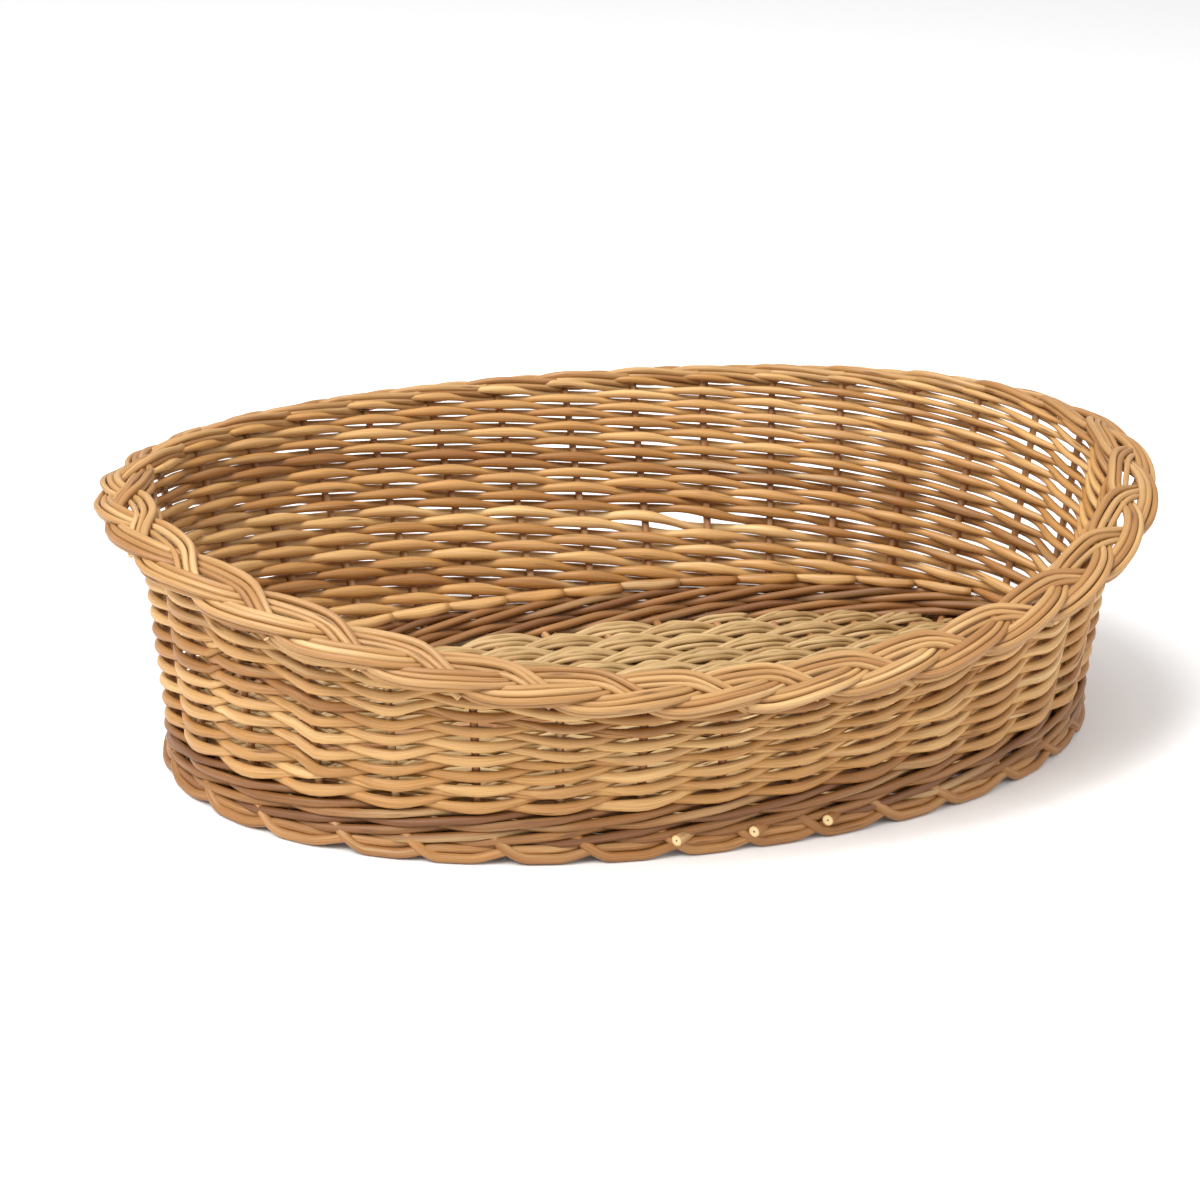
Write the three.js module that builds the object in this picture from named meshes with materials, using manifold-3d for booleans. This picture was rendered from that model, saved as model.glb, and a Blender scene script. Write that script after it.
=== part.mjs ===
// An oval willow pet bed basket with a lowered front, in millimetres, +Z up.
// The origin is on the ground under the middle of the rim. +X runs along the basket, +Y to its back.
//
// Cross sticks, split at the middle and threaded on three long sticks, carry the woven floor.
// A stake is pushed in beside each stick end, bent up and held by a four-rod wale, then by sets
// of side rods. A plait closes the top, and a foot border lifts the floor off the ground.

import * as THREE from "three";
import { mergeVertices } from "three/addons/utils/BufferGeometryUtils.js";
import Module from "manifold-3d";

// Overall sizes
const LENGTH = 700; // over the rim
const WIDTH = 494; // over the rim
const BASE_LENGTH = 604; // across the stakes, at the floor
const BASE_FRONT = 205; // from the rim's middle forward to the stakes, at the floor
const BASE_BACK = 126; // from the rim's middle back to the stakes, at the floor
const OVAL_FULLNESS = 2.15; // 2 is an ellipse, more is squarer
const HEIGHT_FRONT = 109; // of the woven wall, under the plait
const HEIGHT_BACK = 160;
const HEIGHT_ENDS = 169;

// Rods
const STAKE_PAIRS = 17; // a stake at the back and one at the front
const STAKE_DIAMETER = 5.6;
const SIDE_ROD_DIAMETER = 5.4;
const LONG_STICK_DIAMETER = 5.6;
const CROSS_STICK_DIAMETER = 7;
const CLEARANCE = 0.35; // between pieces that touch

// Floor
const FOOT_HEIGHT = 10.2;
const FOOT_WIDTH = 18;
const FOOT_CHAMFER = 3;
const FLOOR_THICKNESS = 11;
const LONG_STICKS = 3;
const END_STAKES = 2; // with no cross stick, at each end on each side of the stake at the middle
const LEG_LENGTH = 46; // of a stake beside a cross stick
const END_LEG_LENGTH = 25; // of a stake at an end
const STAKE_BEND = 9; // reach of the curve where a stake turns up
const EYE_LENGTH = 34; // the split stretch of a cross stick
const EYE_HEIGHT = 10.2;
const EYE_WIDTH = 10;
const EYE_FULL = 0.6; // share of the split stretch that has the full width and height

// Wall
const WALE_HEIGHT = 21; // above the foot border
const SIDE_SETS = 3;
const SET_GAP = 0.8; // between two bands of rods
const RING_STEPS = 1; // facets between two stakes
const ROD_SIDES = 6;
const CHANNEL_SIDES = 4; // rods that cross a stake leave a four-sided channel

// Plait
const PLAIT_STRANDS = 3;
const PLAIT_REPEATS = 11;
const PLAIT_STEPS = 12; // facets in one repeat
const PLAIT_WIDTH = 42;
const PLAIT_TILT = THREE.MathUtils.degToRad(20);
const STRAND_WIDTH = 12;
const STRAND_THICKNESS = 4.6;
const STRAND_GAP = 1.5; // where one strand's edge leaves another

const wasm = await Module();
wasm.setup();

const UP = new THREE.Vector3(0, 0, 1);
const SMALL_TURN = 0.002; // of the way round, to find a direction
const WALL_THICKNESS = STAKE_DIAMETER + 2 * SIDE_ROD_DIAMETER;
const WALE_BOTTOM = FOOT_HEIGHT + CLEARANCE;
const FLOOR_MIDDLE = WALE_BOTTOM + STAKE_DIAMETER / 2; // the stakes' legs lie on the foot border
const FLOOR_BOTTOM = FLOOR_MIDDLE - FLOOR_THICKNESS / 2;
const STAKES = 2 * STAKE_PAIRS;
const CROSS_STICKS = STAKE_PAIRS - 2 * END_STAKES - 1;
const RING_FACETS = STAKES * RING_STEPS;

// The rim and the wall

// Half of an oval, from its right-hand end round the back, or from its left-hand end round the front.
class HalfOval extends THREE.Curve {
  constructor(halfLength, depth, sign) {
    super();
    this.halfLength = halfLength;
    this.depth = depth;
    this.sign = sign;
    this.arcLengthDivisions = 600;
  }
  getPoint(t, target = new THREE.Vector3()) {
    const c = Math.cos(Math.PI * t);
    const s = Math.sin(Math.PI * t);
    const reach = (Math.abs(c) ** OVAL_FULLNESS + Math.abs(s) ** OVAL_FULLNESS) ** (-1 / OVAL_FULLNESS);
    return target.set(this.sign * this.halfLength * c * reach, this.sign * this.depth * s * reach, 0);
  }
}

// A closed oval whose place u runs from 0 to 1, evenly along each half: 0 is the right-hand end,
// 0.25 the middle of the back, 0.5 the left-hand end and 0.75 the middle of the front.
class Oval {
  constructor(halfLength, back, front) {
    this.halves = [new HalfOval(halfLength, back, 1), new HalfOval(halfLength, front, -1)];
  }
  at(u) {
    const place = ((u % 1) + 1) % 1;
    return place < 0.5 ? this.halves[0].getPointAt(2 * place) : this.halves[1].getPointAt(2 * place - 1);
  }
  along(u) {
    return this.at(u + SMALL_TURN).sub(this.at(u - SMALL_TURN)).normalize();
  }
  outward(u) {
    return this.along(u).cross(UP).normalize();
  }
}

// Three strands a third of a turn apart are this far above or below the plait's middle at most.
const plaitSwing = (PLAIT_WIDTH - STRAND_WIDTH) / 2;
const edgeShare = STRAND_WIDTH / (Math.sqrt(3) * plaitSwing);
const plaitLift = (STRAND_THICKNESS + STRAND_GAP) / (Math.sqrt(3) * (1 - 2 * edgeShare ** 2));

// The plait's inner edge is flush with the wall, and the rest of it stands out over the wall.
const plaitReach = (PLAIT_WIDTH / 2) * Math.cos(PLAIT_TILT) + (STRAND_THICKNESS / 2) * Math.sin(PLAIT_TILT);
const plaitOut = plaitReach - WALL_THICKNESS / 2;
const rimInset = plaitReach + plaitOut;
const baseLine = new Oval(BASE_LENGTH / 2, BASE_BACK, BASE_FRONT);
const rimLine = new Oval(LENGTH / 2 - rimInset, WIDTH / 2 - rimInset, WIDTH / 2 - rimInset);

function wallTopHeight(u) {
  const across = rimLine.at(u).y / (WIDTH / 2 - rimInset);
  const middle = across > 0 ? HEIGHT_BACK : HEIGHT_FRONT;
  return THREE.MathUtils.lerp(HEIGHT_ENDS, middle, across ** 2);
}

// The wall's middle surface, where the stakes stand: v is 0 at the floor's level and 1 at the top.
function wallPoint(u, v) {
  const foot = baseLine.at(u).setZ(FLOOR_MIDDLE);
  const top = rimLine.at(u).setZ(wallTopHeight(u));
  return foot.lerp(top, v);
}

function wallSlope(u) {
  return wallPoint(u, 1).sub(wallPoint(u, 0)).normalize();
}

function wallNormal(u) {
  return baseLine.along(u).lerp(rimLine.along(u), 0.5).cross(wallSlope(u)).normalize();
}

// A point of the wall's face, inside where side is -1 and outside where it is 1.
function wallFace(u, v, side) {
  return wallPoint(u, v).addScaledVector(wallNormal(u), (side * WALL_THICKNESS) / 2);
}

// The same, at height z.
function wallFaceAtHeight(u, z, side) {
  const middleHeight = z - (side * WALL_THICKNESS * wallNormal(u).z) / 2;
  return wallFace(u, (middleHeight - FLOOR_MIDDLE) / (wallTopHeight(u) - FLOOR_MIDDLE), side);
}

// Solids

function solidFrom(geometry) {
  const bare = geometry.clone();
  bare.deleteAttribute("normal");
  bare.deleteAttribute("uv");
  const merged = mergeVertices(bare, 1e-4);
  return new wasm.Manifold(
    new wasm.Mesh({
      numProp: 3,
      vertProperties: new Float32Array(merged.attributes.position.array),
      triVerts: new Uint32Array(merged.index.array),
    }),
  );
}

function geometryFrom(solid) {
  const mesh = solid.getMesh();
  const geometry = new THREE.BufferGeometry();
  geometry.setAttribute("position", new THREE.BufferAttribute(new Float32Array(mesh.vertProperties), 3));
  geometry.setIndex(new THREE.BufferAttribute(new Uint32Array(mesh.triVerts), 1));
  geometry.computeVertexNormals();
  return geometry;
}

// Joins sections with the same number of points into one skin. An open skin gets flat ends.
// Opposite sides of the sections are cut along the same diagonals, so that skins side by side match.
function skin(sections, closed) {
  const size = sections[0].length;
  const corners = sections.flat();
  const faces = [];
  for (let i = 0; i < sections.length - (closed ? 0 : 1); i++) {
    const here = i * size;
    const next = ((i + 1) % sections.length) * size;
    for (let j = 0; j < size; j++) {
      const k = (j + 1) % size;
      if (j < size / 2) faces.push(here + j, next + k, next + j, here + j, here + k, next + k);
      else faces.push(here + j, here + k, next + j, here + k, next + k, next + j);
    }
  }
  if (!closed) {
    const last = (sections.length - 1) * size;
    for (let j = 1; j < size - 1; j++) {
      faces.push(0, j + 1, j, last, last + j, last + j + 1);
    }
  }
  const geometry = new THREE.BufferGeometry();
  geometry.setAttribute("position", new THREE.Float32BufferAttribute(corners.flatMap((p) => p.toArray()), 3));
  geometry.setIndex(faces);
  return geometry;
}

// A rod along points, with a width and a height at each.
function rod(points, widths, heights, sides = ROD_SIDES) {
  const last = points.length - 1;
  const side = new THREE.Vector3();
  const sections = points.map((point, i) => {
    const forward = points[Math.min(i + 1, last)].clone().sub(points[Math.max(i - 1, 0)]).normalize();
    if (i === 0) side.crossVectors(forward, UP);
    side.addScaledVector(forward, -side.dot(forward)).normalize();
    const other = new THREE.Vector3().crossVectors(forward, side);
    return count(sides).map((j) => {
      const angle = (2 * Math.PI * (j + 0.5)) / sides;
      return point
        .clone()
        .addScaledVector(side, (widths[i] / 2) * Math.cos(angle))
        .addScaledVector(other, (heights[i] / 2) * Math.sin(angle));
    });
  });
  return solidFrom(skin(sections, false));
}

function roundRod(points, diameter, sides = ROD_SIDES) {
  const widths = points.map(() => diameter);
  return rod(points, widths, widths, sides);
}

// A closed ring round the basket with the section that sectionAt(u) gives, listed outward and then up.
function ring(facets, sectionAt) {
  return skin(
    count(facets).map((i) => sectionAt(1 - i / facets)),
    true,
  );
}

function count(n) {
  return Array.from({ length: n }, (_, i) => i);
}

// The floor

// The inner edge of the foot and the wall, at the wall's lowest level.
function insideEdge(u) {
  return wallFaceAtHeight(u, WALE_BOTTOM, -1);
}

function footBorder() {
  return ring(RING_FACETS, (u) => {
    const inner = insideEdge(u);
    const out = baseLine.outward(u);
    const corner = (r, z) => inner.clone().addScaledVector(out, r).setZ(z);
    return [
      corner(FOOT_CHAMFER, 0),
      corner(FOOT_WIDTH - FOOT_CHAMFER, 0),
      corner(FOOT_WIDTH, FOOT_CHAMFER),
      corner(FOOT_WIDTH, FOOT_HEIGHT),
      corner(0, FOOT_HEIGHT),
      corner(0, FOOT_CHAMFER),
    ];
  });
}

// The floor's edge clears the wall at every height of the floor, whichever way the wall leans.
function floorEdge(u) {
  const out = baseLine.outward(u);
  const low = insideEdge(u);
  const high = wallFaceAtHeight(u, FLOOR_BOTTOM + FLOOR_THICKNESS, -1);
  const inner = low.dot(out) < high.dot(out) ? low : high;
  return inner.addScaledVector(out, -2 * CLEARANCE);
}

function floorSlab() {
  const outline = count(RING_FACETS).map((i) => {
    const edge = floorEdge(i / RING_FACETS);
    return new THREE.Vector2(edge.x, edge.y);
  });
  const options = { depth: FLOOR_THICKNESS, bevelEnabled: false };
  const slab = new THREE.ExtrudeGeometry(new THREE.Shape(outline), options);
  slab.translate(0, 0, FLOOR_BOTTOM);
  return solidFrom(slab);
}

// The long sticks lie side by side, and pass between the two stakes nearest to the floor's middle.
const longStickY = baseLine.at(-0.5 / STAKES).y;

const longStickSpacing = LONG_STICK_DIAMETER + CLEARANCE;

function lengthwise(y) {
  return [-1, 1].map((side) => new THREE.Vector3((side * BASE_LENGTH) / 2, y, FLOOR_MIDDLE));
}

function longStick(i) {
  const y = longStickY + (i - (LONG_STICKS - 1) / 2) * longStickSpacing;
  return roundRod(lengthwise(y), LONG_STICK_DIAMETER);
}

// The split that the long sticks pass through together.
function threadSlot() {
  const bothEnds = (across) => Array(2).fill(across / Math.cos(Math.PI / CHANNEL_SIDES));
  const widths = bothEnds(LONG_STICKS * longStickSpacing + CLEARANCE);
  const heights = bothEnds(longStickSpacing + CLEARANCE);
  return rod(lengthwise(longStickY), widths, heights, CHANNEL_SIDES);
}

const besideStake = (CROSS_STICK_DIAMETER + STAKE_DIAMETER) / 2 + CLEARANCE;

// Cross stick i lies beside the legs of one stake at the back and one at the front.
function crossStickLine(i) {
  const u = (END_STAKES + 1 + i) / STAKES;
  const back = baseLine.at(u).setZ(FLOOR_MIDDLE);
  const front = baseLine.at(1 - u).setZ(FLOOR_MIDDLE);
  const forward = front.clone().sub(back).normalize();
  const beside = new THREE.Vector3().crossVectors(UP, forward).multiplyScalar(besideStake);
  back.add(beside);
  front.add(beside);
  const eye = back.clone().lerp(front, (longStickY - back.y) / (front.y - back.y));
  return { back, front, forward, eye };
}

// A cross stick is swollen where the long sticks pass through its split.
function crossStick(i, grow) {
  const { back, front, forward, eye } = crossStickLine(i);
  const eyePoint = (share) => eye.clone().addScaledVector(forward, (share * EYE_LENGTH) / 2);
  const points = [back, eyePoint(-1), eyePoint(-EYE_FULL), eyePoint(EYE_FULL), eyePoint(1), front];
  const sizes = (swollen) => {
    const plain = CROSS_STICK_DIAMETER;
    return [plain, plain, swollen, swollen, plain, plain].map((size) => size + 2 * grow);
  };
  return rod(points, sizes(EYE_WIDTH), sizes(EYE_HEIGHT));
}

// Stake k stands on the leg that is pushed into the floor.
function stake(k, diameter, sides) {
  const u = k / STAKES;
  const fromEnd = (k < STAKES / 2 ? k : STAKES - k) - END_STAKES - 1;
  const besideStick = fromEnd >= 0 && fromEnd < CROSS_STICKS;
  const inward = besideStick
    ? crossStickLine(fromEnd).forward.multiplyScalar(k < STAKES / 2 ? 1 : -1)
    : baseLine.outward(u).negate();
  const foot = wallPoint(u, 0);
  const start = foot.clone().addScaledVector(inward, besideStick ? LEG_LENGTH : END_LEG_LENGTH);
  const turnIn = foot.clone().addScaledVector(inward, STAKE_BEND);
  const turnUp = foot.clone().addScaledVector(wallSlope(u), STAKE_BEND);
  const bend = new THREE.QuadraticBezierCurve3(turnIn, foot, turnUp).getPoints(2);
  const top = wallPoint(u, 1).addScaledVector(wallSlope(u), -endDrop(u));
  return roundRod([start, ...bend, top], diameter, sides);
}

// A stake stops short of the plait by as much as its square end and the plait lean to each other.
function endDrop(u) {
  const lean = wallSlope(u).angleTo(UP) + PLAIT_TILT;
  return CLEARANCE + (STAKE_DIAMETER / 2) * Math.tan(lean);
}

// The space that the side rods leave for a stake.
function channel(k) {
  const across = (STAKE_DIAMETER + 2 * CLEARANCE) / Math.cos(Math.PI / CHANNEL_SIDES);
  return stake(k, across, CHANNEL_SIDES);
}

// The woven wall, with the rods' thickness on both sides of the stakes

function band(bottomAt, topAt) {
  return ring(RING_FACETS, (u) => [bottomAt(u, -1), bottomAt(u, 1), topAt(u, 1), topAt(u, -1)]);
}

// A level of the side sets, from 0 at the wale to 1 at the wall's top, moved up by some millimetres.
function level(share, up) {
  return (u, side) => {
    const bottom = wallFaceAtHeight(u, WALE_BOTTOM + WALE_HEIGHT, side);
    return bottom.lerp(wallFace(u, 1, side), share).addScaledVector(wallSlope(u), up);
  };
}

// The wall's top leans with the plait.
function topLevel(u, side) {
  return wallFaceAtHeight(u, wallTopHeight(u) - (side * WALL_THICKNESS * Math.tan(PLAIT_TILT)) / 2, side);
}

function upsettWale() {
  return band((u, side) => wallFaceAtHeight(u, WALE_BOTTOM, side), level(0, -SET_GAP / 2));
}

function sideSet(i) {
  const top = i === SIDE_SETS - 1 ? topLevel : level((i + 1) / SIDE_SETS, -SET_GAP / 2);
  return band(level(i / SIDE_SETS, SET_GAP / 2), top);
}

// The plait

// The plait's middle line, and its directions outward across it and through it.
function plaitFrame(u) {
  const middleAt = (w) => {
    const lowest = wallTopHeight(w) - plaitOut * Math.tan(PLAIT_TILT);
    const thickness = (plaitLift + STRAND_THICKNESS / 2 + 2 * CLEARANCE) / Math.cos(PLAIT_TILT);
    return rimLine.at(w).addScaledVector(rimLine.outward(w), plaitOut).setZ(lowest + thickness);
  };
  const along = middleAt(u + SMALL_TURN).sub(middleAt(u - SMALL_TURN)).normalize();
  const across = rimLine.outward(u).multiplyScalar(Math.cos(PLAIT_TILT));
  across.addScaledVector(UP, -Math.sin(PLAIT_TILT));
  across.addScaledVector(along, -across.dot(along)).normalize();
  return { middle: middleAt(u), across, through: new THREE.Vector3().crossVectors(across, along) };
}

// One strand swings from edge to edge and passes over and under the other two.
function plaitStrand(strand) {
  const pointAt = (u) => {
    const { middle, across, through } = plaitFrame(u);
    const turn = 2 * Math.PI * (PLAIT_REPEATS * u + strand / PLAIT_STRANDS);
    return middle
      .addScaledVector(across, plaitSwing * Math.sin(turn))
      .addScaledVector(through, -plaitLift * Math.sin(2 * turn));
  };
  return ring(PLAIT_REPEATS * PLAIT_STEPS, (u) => {
    const point = pointAt(u);
    const along = pointAt(u + SMALL_TURN).sub(pointAt(u - SMALL_TURN)).normalize();
    const wide = new THREE.Vector3().crossVectors(along, plaitFrame(u).through).normalize();
    const thick = new THREE.Vector3().crossVectors(wide, along);
    const corner = (a, b) =>
      point
        .clone()
        .addScaledVector(wide, (a * STRAND_WIDTH) / 2)
        .addScaledVector(thick, (b * STRAND_THICKNESS) / 2);
    return [corner(-1, -1), corner(1, -1), corner(1, 1), corner(-1, 1)];
  });
}

// The assembly

const willow = (color, roughness) => new THREE.MeshStandardMaterial({ color, roughness, metalness: 0 });
const stakeWillow = willow(0xb98a50, 0.55);
const sideWillow = willow(0xc99a5c, 0.5);
const rimWillow = willow(0xd8ab6c, 0.48);
const floorWillow = willow(0xc9ab78, 0.6);

const basket = new THREE.Group();

function addPiece(name, geometry, material) {
  const mesh = new THREE.Mesh(geometry, material);
  mesh.name = name;
  basket.add(mesh);
}

// Adds one mesh for each of n pieces, numbered from 01.
function addPieces(name, n, geometryOf, material) {
  count(n).forEach((i) => addPiece(`${name}_${String(i + 1).padStart(2, "0")}`, geometryOf(i), material));
}

const joined = (solids) => solids.reduce((all, solid) => all.add(solid));
const slab = floorSlab();
const slot = threadSlot();
const stickHoles = joined([slot, ...count(CROSS_STICKS).map((i) => crossStick(i, CLEARANCE))]);
const channels = joined(count(STAKES).map(channel));
const woven = (geometry) => geometryFrom(solidFrom(geometry).subtract(channels));

addPiece("foot_border", footBorder(), stakeWillow);
addPieces("long_stick", LONG_STICKS, (i) => geometryFrom(longStick(i).intersect(slab)), stakeWillow);
addPieces(
  "cross_stick",
  CROSS_STICKS,
  (i) => geometryFrom(crossStick(i, 0).intersect(slab).subtract(slot)),
  stakeWillow,
);
addPiece("floor_weave", geometryFrom(slab.subtract(stickHoles).subtract(channels)), floorWillow);
addPieces("side_stake", STAKES, (k) => geometryFrom(stake(k, STAKE_DIAMETER, ROD_SIDES)), stakeWillow);
addPiece("upsett_wale", woven(upsettWale()), sideWillow);
addPieces("side_weave_set", SIDE_SETS, (i) => woven(sideSet(i)), sideWillow);
addPieces("plait_strand", PLAIT_STRANDS, plaitStrand, rimWillow);

export default basket;
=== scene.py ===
"""A willow pet bed basket. Every rod is a tube of its own, woven round the stakes of the CAD frame."""
import math

import bpy
import numpy as np
from mathutils import Matrix, Vector


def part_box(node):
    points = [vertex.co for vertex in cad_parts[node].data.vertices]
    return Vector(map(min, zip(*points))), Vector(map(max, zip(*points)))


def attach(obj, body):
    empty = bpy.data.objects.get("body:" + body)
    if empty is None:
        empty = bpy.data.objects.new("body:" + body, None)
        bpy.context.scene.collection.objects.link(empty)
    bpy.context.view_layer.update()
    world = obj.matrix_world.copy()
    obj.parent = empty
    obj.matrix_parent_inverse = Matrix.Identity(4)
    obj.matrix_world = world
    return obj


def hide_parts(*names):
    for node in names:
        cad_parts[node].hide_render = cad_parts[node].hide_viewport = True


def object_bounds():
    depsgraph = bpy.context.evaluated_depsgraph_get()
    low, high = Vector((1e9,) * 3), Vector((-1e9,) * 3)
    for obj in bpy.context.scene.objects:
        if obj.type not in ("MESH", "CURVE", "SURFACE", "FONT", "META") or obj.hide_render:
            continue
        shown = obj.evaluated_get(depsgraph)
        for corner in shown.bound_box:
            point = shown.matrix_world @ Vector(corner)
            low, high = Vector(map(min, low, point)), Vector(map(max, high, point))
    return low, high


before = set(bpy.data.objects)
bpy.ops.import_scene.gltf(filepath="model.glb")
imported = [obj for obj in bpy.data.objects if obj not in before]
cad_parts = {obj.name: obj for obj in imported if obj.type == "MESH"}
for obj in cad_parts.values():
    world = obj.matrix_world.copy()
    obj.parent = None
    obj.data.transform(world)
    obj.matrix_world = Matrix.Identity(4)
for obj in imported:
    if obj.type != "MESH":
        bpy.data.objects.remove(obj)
CAD_LOW, CAD_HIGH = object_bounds()

rng = np.random.default_rng(7)
UP = np.array([0.0, 0.0, 1.0])

# ---------------------------------------------------------------- sizes, in metres

STAKES = sum(name.startswith("side_stake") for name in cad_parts)
CROSS_NODES = sorted(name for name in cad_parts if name.startswith("cross_stick"))
LONG_NODES = sorted(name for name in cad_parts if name.startswith("long_stick"))

OVAL_FULLNESS = 2.15  # 2 is an ellipse, and more is squarer
STAKE_RADIUS = 0.0028
SIDE_ROD_DIAMETER = 0.0054
WALL_THICKNESS = 2 * STAKE_RADIUS + 2 * SIDE_ROD_DIAMETER
STAKE_PITCH = 0.05  # from stake to stake half way up the wall
BASE_PITCH = 0.047  # and at its foot

PLAIT_WIDTH = 0.042
PLAIT_TILT = math.radians(20)
PLAIT_REPEATS = 11
PLAIT_STRANDS = 3
STRAND_WIDTH = 0.012  # of a strand in CAD, where it is one flat band
STRAND_THICKNESS = 0.0046
STRAND_GAP = 0.0015

FOOT_OUT = {"ends": 0.0102, "back": 0.0074, "front": 0.0102}  # past the stakes' line
FLOOR_MIDDLE = 0.01335
WALE_BOTTOM = 0.0105
WALE_TOP = 0.0315
STAKE_DROP = 0.0012  # a stake ends this far under the wall's top

# The rim and the base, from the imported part
foot_low, foot_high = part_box("foot_border")
BASE_HALF_LENGTH = foot_high.x - FOOT_OUT["ends"]
BASE_BACK = foot_high.y - FOOT_OUT["back"]
BASE_FRONT = -foot_low.y - FOOT_OUT["front"]
plait_reach = PLAIT_WIDTH / 2 * math.cos(PLAIT_TILT) + STRAND_THICKNESS / 2 * math.sin(PLAIT_TILT)
PLAIT_OUT = plait_reach - WALL_THICKNESS / 2
cad_swing = (PLAIT_WIDTH - STRAND_WIDTH) / 2
edge_share = STRAND_WIDTH / (math.sqrt(3) * cad_swing)
CAD_LIFT = (STRAND_THICKNESS + STRAND_GAP) / (math.sqrt(3) * (1 - 2 * edge_share**2))
RIM_HALF_LENGTH = (CAD_HIGH.x - CAD_LOW.x) / 2 - plait_reach - PLAIT_OUT
RIM_HALF_WIDTH = (CAD_HIGH.y - CAD_LOW.y) / 2 - plait_reach - PLAIT_OUT


def stake_top(quarter):
    """The height of the wall a quarter-turn at a time: 0 right, 1 back, 2 left, 3 front."""
    k = round(quarter * STAKES / 4) % STAKES
    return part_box(f"side_stake_{k + 1:02d}")[1].z + STAKE_DROP


HEIGHT_ENDS = stake_top(0)
HEIGHT_BACK = stake_top(1)
HEIGHT_FRONT = stake_top(3)


# ---------------------------------------------------------------- the wall's surface

# A place u round the basket runs from 0 at the right-hand end, round the back, to 1.

NEARBY = 0.002  # a step along u, to find a direction


def unit(vectors):
    return vectors / np.linalg.norm(vectors, axis=-1, keepdims=True)


def at_height(flat, z):
    """Points of the ground plane, lifted to z."""
    heights = np.broadcast_to(np.asarray(z, float), flat.shape[:-1])
    return np.concatenate([flat, heights[..., None]], -1)


def oval_half(half_length, depth, sign, samples=1500):
    """Half an oval's points, evenly spaced, from its right-hand end (or left, where sign is -1)."""
    t = np.linspace(0, math.pi, samples)
    c, s = np.cos(t), np.abs(np.sin(t))
    reach = (np.abs(c) ** OVAL_FULLNESS + s**OVAL_FULLNESS) ** (-1 / OVAL_FULLNESS)
    points = np.stack([sign * half_length * c * reach, sign * depth * s * reach], 1)
    gone = lengths(points)
    even = np.linspace(0, gone[-1], samples)
    return np.stack([np.interp(even, gone, points[:, i]) for i in range(2)], 1)


def lengths(points):
    """How far along a line each of its points is."""
    steps = np.linalg.norm(np.diff(points, axis=0), axis=1)
    return np.concatenate([[0], np.cumsum(steps)])


class Oval:
    """A closed oval in the ground plane, deeper at its back or its front."""

    def __init__(self, half_length, back, front):
        halves = [oval_half(half_length, back, 1), oval_half(half_length, front, -1)[1:]]
        self.points = np.concatenate(halves)
        half = np.linspace(0, 0.5, len(halves[0]))
        self.places = np.concatenate([half, 0.5 + half[1:]])

    def at(self, u):
        u = np.mod(u, 1.0)
        return np.stack([np.interp(u, self.places, self.points[:, i]) for i in range(2)], -1)

    def outward(self, u):
        along = unit(self.at(np.asarray(u) + NEARBY) - self.at(np.asarray(u) - NEARBY))
        return np.stack([along[..., 1], -along[..., 0]], -1)


BASE = Oval(BASE_HALF_LENGTH, BASE_BACK, BASE_FRONT)
RIM = Oval(RIM_HALF_LENGTH, RIM_HALF_WIDTH, RIM_HALF_WIDTH)


def backward(u):
    """How far to the back a place of the rim is: 1 at the back's middle, -1 at the front's."""
    return RIM.at(u)[..., 1] / RIM_HALF_WIDTH


def top_height(u):
    across = backward(u)
    middle = np.where(across > 0, HEIGHT_BACK, HEIGHT_FRONT)
    return HEIGHT_ENDS + (middle - HEIGHT_ENDS) * across**2


def wall_slope(u):
    return unit(at_height(RIM.at(u), top_height(u)) - at_height(BASE.at(u), FLOOR_MIDDLE))


def wall_normal(u):
    flat = unit(BASE.outward(u) + RIM.outward(u))
    slope = wall_slope(u)
    out = at_height(flat, 0)
    return unit(out - slope * np.sum(out * slope, -1, keepdims=True))


def on_wall(u, z, out):
    """A point at height z of the stakes' surface, moved out from it."""
    u, z, out = np.broadcast_arrays(*(np.asarray(x, float) for x in (u, z, out)))
    share = (z - FLOOR_MIDDLE) / (top_height(u) - FLOOR_MIDDLE)
    flat = BASE.at(u) * (1 - share[..., None]) + RIM.at(u) * share[..., None]
    return at_height(flat, z) + wall_normal(u) * out[..., None]


def beside_base(u, z, out):
    """A point at height z, level with the foot, moved out from the stakes' line."""
    return at_height(BASE.at(u) + BASE.outward(u) * np.asarray(out)[..., None], z)


# ---------------------------------------------------------------- rods

GRAIN_RANGE = 3.0  # a rod's grain starts anywhere in this much of the pattern
STRIP_PITCH = 1.12  # the bake's map: from one strip to the next, in girths
STRIP_SPARE = 1.15  # and its room for strips that are only partly filled
STRIP_END = 0.02
MAP_MARGIN = 0.01
END_PITCH = 2.2  # from one cut end to the next, in radii
MAP_EDGE = 1.002


def wander(s, size, longest=0.3, waves=5):
    """A smooth random wobble along a rod, s metres from its butt, of ever shorter and weaker waves."""
    total = np.zeros_like(s)
    for i in range(waves):
        length = longest / (1 + 1.3 * i)
        total += np.sin(2 * math.pi * s / length + rng.uniform(0, 2 * math.pi)) * rng.normal(0, 1) / (1 + i)
    return size * total / 1.3


def ease(x):
    x = np.clip(x, 0, 1)
    return x * x * (3 - 2 * x)


def taper(n, butt=1.08, tip=0.86):
    return np.linspace(butt, tip, n)


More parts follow.
